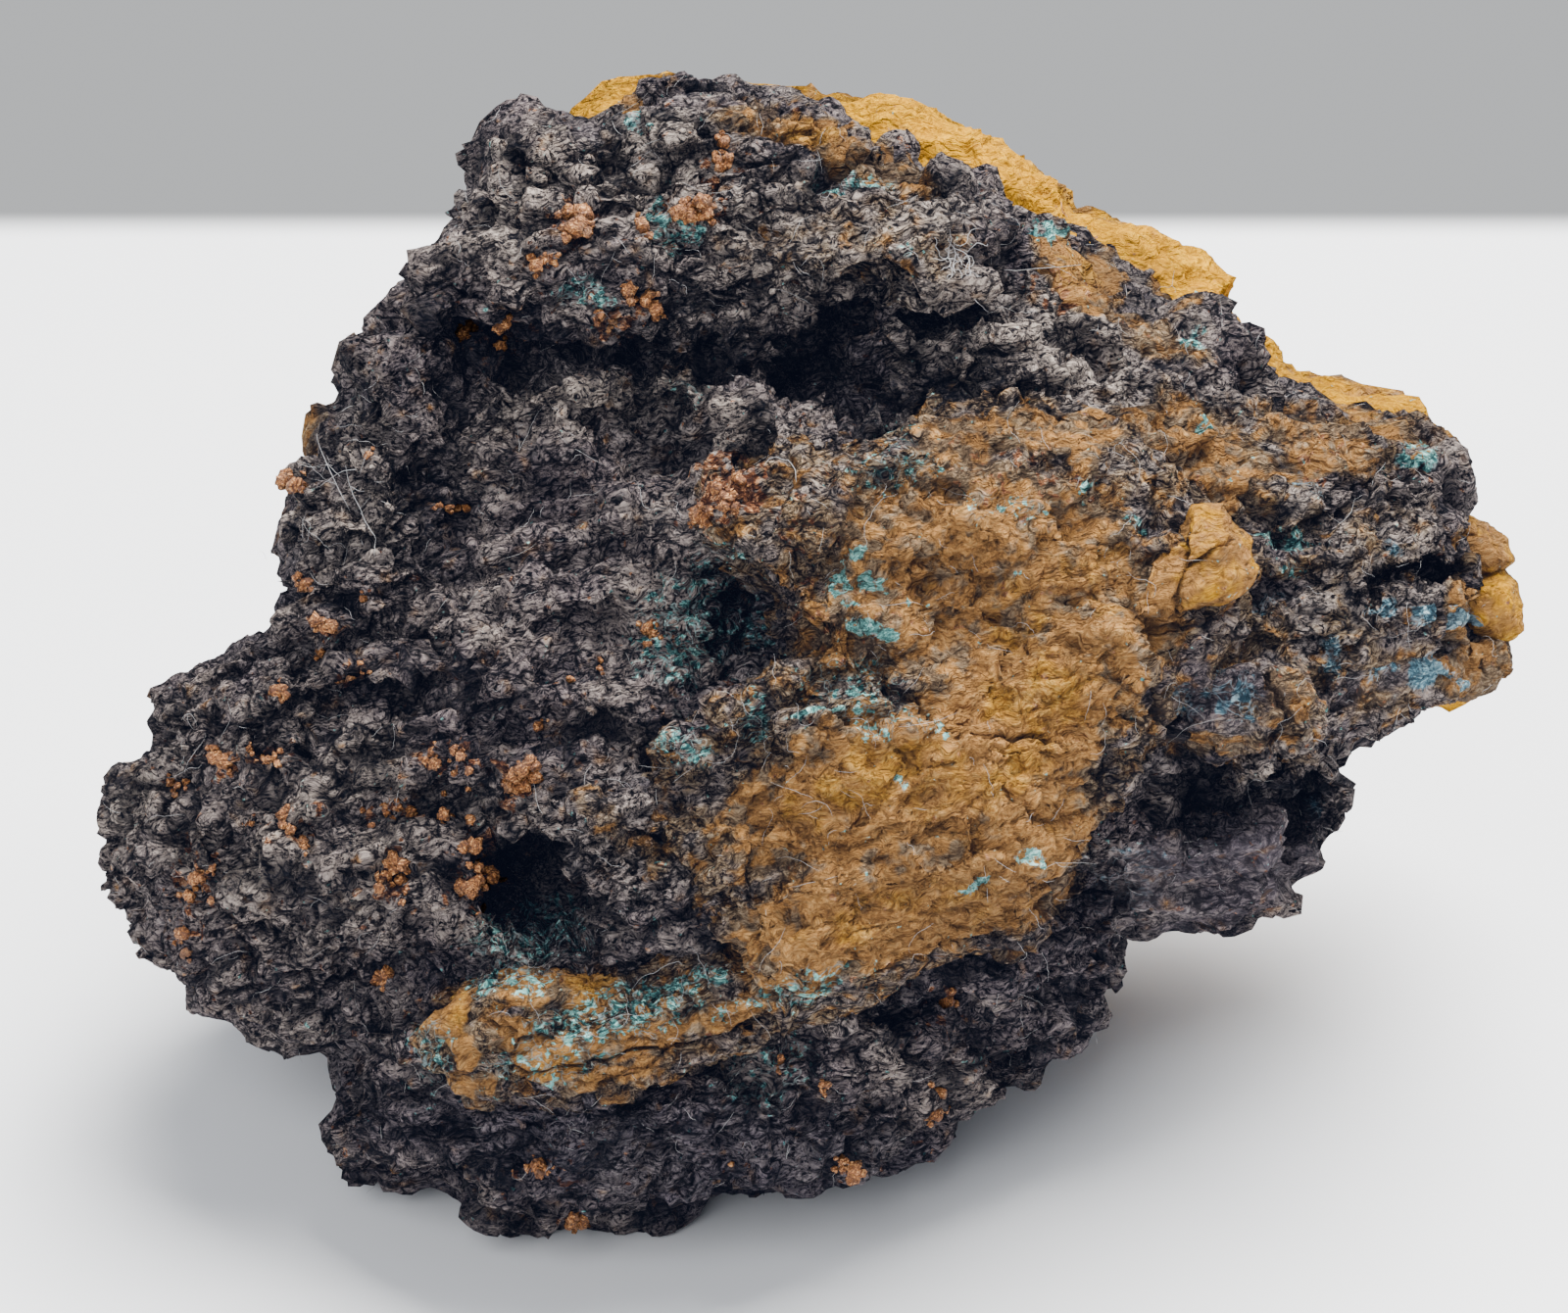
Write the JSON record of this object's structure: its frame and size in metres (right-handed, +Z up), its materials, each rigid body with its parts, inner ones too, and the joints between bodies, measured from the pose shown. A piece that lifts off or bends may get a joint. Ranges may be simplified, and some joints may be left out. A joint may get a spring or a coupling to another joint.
{
  "type": "native copper nugget",
  "caption": "Lump of copper ore with a flat underside: dark crumbly oxide with ochre crust, orange copper grains and blue-green specks, resting as a display specimen.",
  "frame": {"origin": "centre of the bounding box's base, on the surface that the nugget rests on", "axes": "+Z up, +X along the nugget's longest extent, to the right of a viewer at -Y who sees the ochre face"},
  "size_m": [0.0657, 0.0564, 0.0463],
  "materials": {
    "copper_ore": "rough, dull and crumbly"
  },
  "bodies": {
    "root": {"copper_nugget": "copper_ore"}
  },
  "joints": []
}
